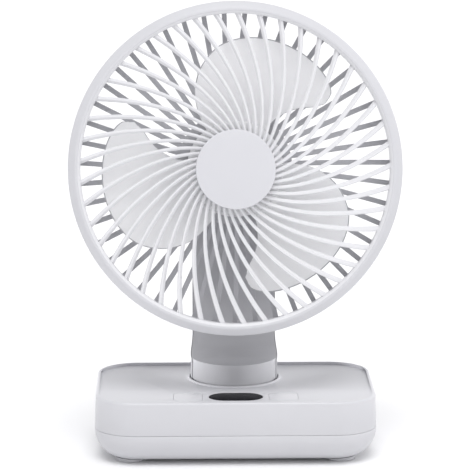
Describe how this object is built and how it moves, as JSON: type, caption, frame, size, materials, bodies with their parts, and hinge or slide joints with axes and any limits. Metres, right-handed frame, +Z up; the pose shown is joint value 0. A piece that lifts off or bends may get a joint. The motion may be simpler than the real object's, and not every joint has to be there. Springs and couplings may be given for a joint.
{
  "type": "desk fan",
  "caption": "Rechargeable desk fan: caged axial rotor on a tilting head, a scooped neck that swings, and a low rounded base with a dished control deck.",
  "frame": {"origin": "on the floor under the middle of the base", "axes": "+Z up; the fan blows towards -Y, +X is to the right of someone facing it"},
  "size_m": [0.175, 0.093, 0.2409],
  "materials": {
    "shell_white": "satin moulded",
    "neck_grey": "satin moulded",
    "blade_white": "satin",
    "silicone": "matte",
    "lens_black": "smoked gloss",
    "steel": "plated",
    "brass": "turned",
    "stator": "lacquered",
    "magnet": "ground",
    "nylon": "natural",
    "board_green": "lacquered",
    "dark_plastic": "moulded",
    "cell_wrap": "shrink sleeve",
    "cable": "matte"
  },
  "bodies": {
    "base": {"base_lower_shell": "shell_white", "base_upper_shell": "shell_white", "display_lens": "lens_black", "display_module": "dark_plastic", "control_board": "board_green", "switch_power": "dark_plastic", "switch_swing": "dark_plastic", "battery_cell_front": "cell_wrap", "battery_cell_rear": "cell_wrap", "battery_cradle": "dark_plastic", "main_board": "board_green", "charging_socket": "steel", "swivel_motor": "steel", "swivel_screw_front": "steel", "swivel_screw_rear": "steel", "thrust_ring": "nylon", "foot_front_left": "silicone", "foot_front_right": "silicone", "foot_rear_left": "silicone", "foot_rear_right": "silicone", "base_screw_front_left": "steel", "base_screw_front_right": "steel", "base_screw_rear_left": "steel", "base_screw_rear_right": "steel"},
    "pinion": {"swivel_pinion": "nylon", "swivel_shaft": "steel"},
    "neck": {"neck_rear_shell": "neck_grey", "neck_front_cover": "neck_grey", "turntable": "nylon", "sector_gear": "nylon", "sector_clip": "steel", "neck_lead": "cable", "tilt_pin": "steel", "friction_washer_left": "nylon", "friction_washer_right": "nylon", "hinge_cap_left": "shell_white", "hinge_cap_right": "shell_white"},
    "head": {"front_grille": "shell_white", "front_cap": "shell_white", "rear_grille": "shell_white", "motor_cover": "shell_white", "cover_screw_1": "steel", "cover_screw_2": "steel", "cover_screw_3": "steel", "tilt_knuckle": "neck_grey", "knuckle_screw_lower": "steel", "knuckle_screw_upper": "steel", "bearing_tube": "brass", "bearing_front": "steel", "bearing_rear": "steel", "stator_core": "stator", "driver_board": "board_green"},
    "rotor": {"impeller": "blade_white", "rotor_bell": "steel", "magnet_ring": "magnet", "fan_shaft": "steel", "fan_nut": "steel"},
    "key_power": {"key_power": "shell_white"},
    "key_swing": {"key_swing": "shell_white"}
  },
  "joints": [
    {"name": "swivel", "type": "hinge", "parent": "base", "child": "neck", "pos_m": [0, 0.014, 0.03], "axis": [0, 0, 1], "range_deg": [-45, 45]},
    {"name": "pinion_spin", "type": "hinge", "parent": "base", "child": "pinion", "pos_m": [0.03, 0.014, 0.0248], "axis": [0, 0, 1], "range_deg": [-180, 180]},
    {"name": "tilt", "type": "hinge", "parent": "neck", "child": "head", "pos_m": [0, 0.028, 0.14765], "axis": [-1, 0, 0], "range_deg": [-18, 72]},
    {"name": "rotor_spin", "type": "hinge", "parent": "head", "child": "rotor", "pos_m": [0, -0.01359, 0.15349], "axis": [0, -0.9903, 0.1392], "continuous": true},
    {"name": "key_power", "type": "slide", "parent": "base", "child": "key_power", "axis": [0, 0, -1], "range_m": [0, 0.0005], "stiffness_N_per_m": 300},
    {"name": "key_swing", "type": "slide", "parent": "base", "child": "key_swing", "axis": [0, 0, -1], "range_m": [0, 0.0005], "stiffness_N_per_m": 300}
  ],
  "couplings": [
    {"joint": "pinion_spin", "follows": "swivel", "ratio": -4}
  ]
}
